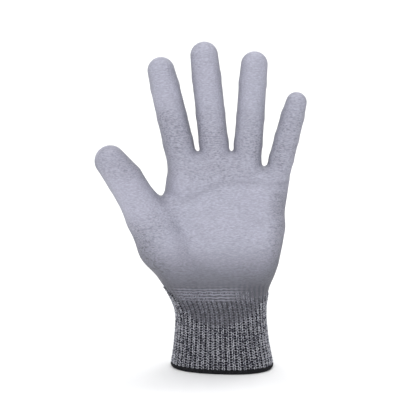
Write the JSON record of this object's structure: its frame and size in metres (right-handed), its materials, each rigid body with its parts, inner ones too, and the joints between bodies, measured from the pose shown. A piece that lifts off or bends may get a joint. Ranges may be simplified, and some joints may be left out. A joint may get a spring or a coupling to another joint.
{
  "type": "cut resistant glove",
  "caption": "Left-hand cut resistant work glove, fingers spread: knitted liner with a smooth film dipped over the palm and fingers, ribbed wrist cuff and dark bound hem.",
  "frame": {"origin": "centre of the cuff's opening, in the flat plane of the hem that the glove stands on", "axes": "+Z from the hem to the fingertips, -Y out of the coated palm, -X towards the thumb side"},
  "size_m": [0.1558, 0.0563, 0.2416],
  "materials": {
    "film": "matte",
    "liner_knit": "matte",
    "rib_knit": "matte",
    "hem_thread": "matte",
    "elastic": "matte"
  },
  "bodies": {
    "cuff": {"hem_binding": "hem_thread", "rib_cuff": "rib_knit", "elastic_threads": "elastic", "wrist_coating": "film"},
    "palm": {"heel_liner": "liner_knit", "palm_liner": "liner_knit", "knuckle_liner": "liner_knit", "palm_coating": "film"},
    "index_base": {"index_base_liner": "liner_knit", "index_base_coating": "film"},
    "index_middle": {"index_middle_liner": "liner_knit", "index_middle_coating": "film"},
    "index_tip": {"index_tip_liner": "liner_knit", "index_tip_coating": "film"},
    "middle_base": {"middle_base_liner": "liner_knit", "middle_base_coating": "film"},
    "middle_middle": {"middle_middle_liner": "liner_knit", "middle_middle_coating": "film"},
    "middle_tip": {"middle_tip_liner": "liner_knit", "middle_tip_coating": "film"},
    "ring_base": {"ring_base_liner": "liner_knit", "ring_base_coating": "film"},
    "ring_middle": {"ring_middle_liner": "liner_knit", "ring_middle_coating": "film"},
    "ring_tip": {"ring_tip_liner": "liner_knit", "ring_tip_coating": "film"},
    "little_base": {"little_base_liner": "liner_knit", "little_base_coating": "film"},
    "little_middle": {"little_middle_liner": "liner_knit", "little_middle_coating": "film"},
    "little_tip": {"little_tip_liner": "liner_knit", "little_tip_coating": "film"},
    "thumb_base": {"thumb_base_liner": "liner_knit", "thumb_base_coating": "film"},
    "thumb_tip": {"thumb_tip_liner": "liner_knit", "thumb_tip_coating": "film"}
  },
  "joints": [
    {"name": "wrist_bend", "type": "hinge", "parent": "cuff", "child": "palm", "pos_m": [0, 0, 0.049], "axis": [1, 0, 0], "range_deg": [-35, 35], "stiffness_Nm_per_rad": 0.3},
    {"name": "index_root_bend", "type": "hinge", "parent": "palm", "child": "index_base", "pos_m": [-0.0329, 0, 0.16879], "axis": [0.9937, 0, 0.1123], "range_deg": [-12, 65], "stiffness_Nm_per_rad": 0.03},
    {"name": "index_middle_bend", "type": "hinge", "parent": "index_base", "child": "index_middle", "pos_m": [-0.03714, -0.00066, 0.18729], "axis": [0.9937, 0, 0.1123], "range_deg": [0, 80], "stiffness_Nm_per_rad": 0.02},
    {"name": "index_end_bend", "type": "hinge", "parent": "index_middle", "child": "index_tip", "pos_m": [-0.04215, -0.003, 0.2091], "axis": [0.9937, 0, 0.1123], "range_deg": [0, 50], "stiffness_Nm_per_rad": 0.02},
    {"name": "middle_root_bend", "type": "hinge", "parent": "palm", "child": "middle_base", "pos_m": [-0.00652, 0, 0.16895], "axis": [0.9985, 0, 0.0541], "range_deg": [-12, 65], "stiffness_Nm_per_rad": 0.03},
    {"name": "middle_middle_bend", "type": "hinge", "parent": "middle_base", "child": "middle_middle", "pos_m": [-0.00879, -0.00073, 0.18981], "axis": [0.9985, 0, 0.0541], "range_deg": [0, 80], "stiffness_Nm_per_rad": 0.02},
    {"name": "middle_end_bend", "type": "hinge", "parent": "middle_middle", "child": "middle_tip", "pos_m": [-0.01164, -0.0035, 0.21601], "axis": [0.9985, 0, 0.0541], "range_deg": [0, 50], "stiffness_Nm_per_rad": 0.02},
    {"name": "ring_root_bend", "type": "hinge", "parent": "palm", "child": "ring_base", "pos_m": [0.01948, 0, 0.16748], "axis": [0.9994, 0, -0.034], "range_deg": [-12, 65], "stiffness_Nm_per_rad": 0.03},
    {"name": "ring_middle_bend", "type": "hinge", "parent": "ring_base", "child": "ring_middle", "pos_m": [0.0208, -0.00068, 0.18692], "axis": [0.9994, 0, -0.034], "range_deg": [0, 80], "stiffness_Nm_per_rad": 0.02},
    {"name": "ring_end_bend", "type": "hinge", "parent": "ring_middle", "child": "ring_tip", "pos_m": [0.0225, -0.00373, 0.21168], "axis": [0.9994, 0, -0.034], "range_deg": [0, 50], "stiffness_Nm_per_rad": 0.02},
    {"name": "little_root_bend", "type": "hinge", "parent": "palm", "child": "little_base", "pos_m": [0.04406, 0, 0.15631], "axis": [0.9927, 0, -0.121], "range_deg": [-12, 65], "stiffness_Nm_per_rad": 0.03},
    {"name": "little_middle_bend", "type": "hinge", "parent": "little_base", "child": "little_middle", "pos_m": [0.04778, -0.00054, 0.17135], "axis": [0.9927, 0, -0.121], "range_deg": [0, 80], "stiffness_Nm_per_rad": 0.02},
    {"name": "little_end_bend", "type": "hinge", "parent": "little_middle", "child": "little_tip", "pos_m": [0.05185, -0.00259, 0.18772], "axis": [0.9927, 0, -0.121], "range_deg": [0, 50], "stiffness_Nm_per_rad": 0.02},
    {"name": "thumb_root_bend", "type": "hinge", "parent": "palm", "child": "thumb_base", "pos_m": [-0.06347, -0.01097, 0.124], "axis": [0.597, 0.6626, 0.4522], "range_deg": [0, 31], "stiffness_Nm_per_rad": 0.03},
    {"name": "thumb_end_bend", "type": "hinge", "parent": "thumb_base", "child": "thumb_tip", "pos_m": [-0.07337, -0.01376, 0.14116], "axis": [0.4762, 0.6256, 0.6179], "range_deg": [0, 45], "stiffness_Nm_per_rad": 0.02}
  ]
}
